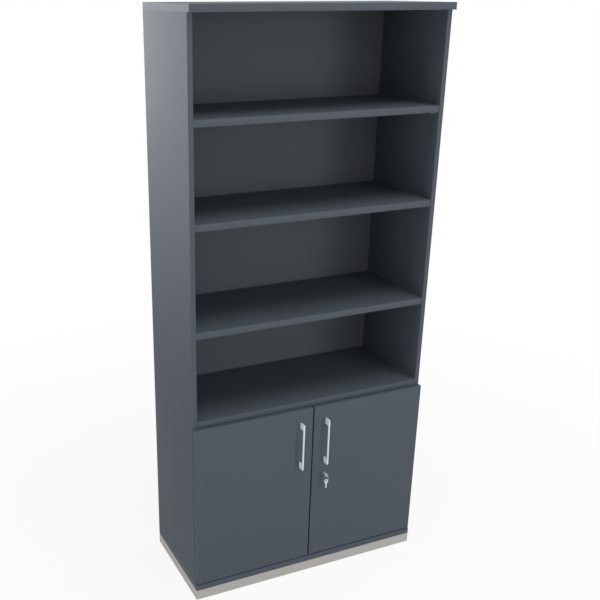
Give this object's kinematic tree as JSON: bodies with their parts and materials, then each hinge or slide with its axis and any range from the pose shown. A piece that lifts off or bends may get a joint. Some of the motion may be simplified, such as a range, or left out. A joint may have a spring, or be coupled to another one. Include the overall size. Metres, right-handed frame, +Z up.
{
  "type": "bookcase with cabinet doors",
  "caption": "Tall office bookcase with open adjustable shelves above a lockable cupboard with bow handles, on a steel plinth with levelling feet.",
  "frame": {"origin": "on the floor, under the middle of the part's box", "axes": "+Z up, +Y from the doors to the back, +X to the right for someone facing the doors"},
  "size_m": [1, 0.4686, 2.218],
  "materials": {
    "board": "matte slate-grey melamine faced board",
    "plinth": "satin light-grey powder coat",
    "handle": "satin",
    "support": "satin",
    "hinge": "satin nickel",
    "lock": "satin dark grey",
    "bolt": "satin",
    "key": "polished nickel",
    "foot": "matte"
  },
  "bodies": {
    "carcass": {"top_panel": "board", "bottom_panel": "board", "left_side": "board", "right_side": "board", "back_panel": "board", "middle_shelf": "board", "shelf_1": "board", "shelf_2": "board", "shelf_3": "board", "lower_shelf": "board", "shelf_1_support_front_left": "support", "shelf_1_support_front_right": "support", "shelf_1_support_rear_left": "support", "shelf_1_support_rear_right": "support", "shelf_2_support_front_left": "support", "shelf_2_support_front_right": "support", "shelf_2_support_rear_left": "support", "shelf_2_support_rear_right": "support", "shelf_3_support_front_left": "support", "shelf_3_support_front_right": "support", "shelf_3_support_rear_left": "support", "shelf_3_support_rear_right": "support", "lower_shelf_support_front_left": "support", "lower_shelf_support_front_right": "support", "lower_shelf_support_rear_left": "support", "lower_shelf_support_rear_right": "support", "hinge_arm_left_top": "hinge", "hinge_arm_left_bottom": "hinge", "hinge_arm_right_top": "hinge", "hinge_arm_right_bottom": "hinge", "plinth_front": "plinth", "plinth_rear": "plinth", "plinth_left": "plinth", "plinth_right": "plinth"},
    "left_door": {"left_door": "board", "left_handle": "handle", "hinge_cup_left_top": "hinge", "hinge_cup_left_bottom": "hinge", "strike_plate": "bolt", "slide_bolt_case": "bolt"},
    "right_door": {"right_door": "board", "right_handle": "handle", "hinge_cup_right_top": "hinge", "hinge_cup_right_bottom": "hinge", "lock_case": "lock", "lock_rosette": "lock"},
    "left_links": {"hinge_link_left_top": "hinge", "hinge_link_left_bottom": "hinge"},
    "right_links": {"hinge_link_right_top": "hinge", "hinge_link_right_bottom": "hinge"},
    "lock_plug": {"lock_plug": "lock", "lock_key": "key"},
    "lock_bolt": {"lock_bolt": "bolt"},
    "key_ring": {"key_ring": "key"},
    "spare_key": {"spare_key": "key"},
    "slide_bolt": {"slide_bolt_rod": "bolt"},
    "foot_front_left": {"foot_front_left": "foot"},
    "foot_front_right": {"foot_front_right": "foot"},
    "foot_rear_left": {"foot_rear_left": "foot"},
    "foot_rear_right": {"foot_rear_right": "foot"}
  },
  "joints": [
    {"name": "left_door_hinge", "type": "hinge", "parent": "carcass", "child": "left_door", "pos_m": [-0.493, -0.19621, 0.41275], "axis": [0, 0, -1], "range_deg": [0, 100]},
    {"name": "right_door_hinge", "type": "hinge", "parent": "carcass", "child": "right_door", "pos_m": [0.493, -0.19621, 0.41275], "axis": [0, 0, 1], "range_deg": [0, 100]},
    {"name": "left_link_slide", "type": "slide", "parent": "carcass", "child": "left_links", "axis": [0, -1, 0], "range_m": [0, 0.03]},
    {"name": "right_link_slide", "type": "slide", "parent": "carcass", "child": "right_links", "axis": [0, -1, 0], "range_m": [0, 0.03]},
    {"name": "lock_turn", "type": "hinge", "parent": "right_door", "child": "lock_plug", "pos_m": [0.0555, -0.20171, 0.452], "axis": [0, 1, 0], "range_deg": [0, 90]},
    {"name": "lock_bolt_slide", "type": "slide", "parent": "right_door", "child": "lock_bolt", "axis": [-1, 0, 0], "range_m": [0, 0.011]},
    {"name": "ring_swing", "type": "hinge", "parent": "lock_plug", "child": "key_ring", "pos_m": [0.0555, -0.22651, 0.452], "axis": [1, 0, 0], "range_deg": [-60, 15]},
    {"name": "spare_key_swing", "type": "hinge", "parent": "key_ring", "child": "spare_key", "pos_m": [0.0555, -0.22651, 0.4298], "axis": [0, 1, 0], "range_deg": [-90, 0]},
    {"name": "slide_bolt_lift", "type": "slide", "parent": "left_door", "child": "slide_bolt", "axis": [0, 0, 1], "range_m": [0, 0.011]},
    {"name": "foot_front_left_screw", "type": "slide", "parent": "carcass", "child": "foot_front_left", "axis": [0, 0, -1], "range_m": [0, 0.01]},
    {"name": "foot_front_right_screw", "type": "slide", "parent": "carcass", "child": "foot_front_right", "axis": [0, 0, -1], "range_m": [0, 0.01]},
    {"name": "foot_rear_left_screw", "type": "slide", "parent": "carcass", "child": "foot_rear_left", "axis": [0, 0, -1], "range_m": [0, 0.01]},
    {"name": "foot_rear_right_screw", "type": "slide", "parent": "carcass", "child": "foot_rear_right", "axis": [0, 0, -1], "range_m": [0, 0.01]}
  ],
  "couplings": [
    {"joint": "left_link_slide", "follows": "left_door_hinge", "m_per_rad": 0.01718},
    {"joint": "right_link_slide", "follows": "right_door_hinge", "m_per_rad": 0.01718},
    {"joint": "lock_bolt_slide", "follows": "lock_turn", "m_per_rad": 0.007},
    {"joint": "spare_key_swing", "follows": "lock_turn", "ratio": -1}
  ]
}
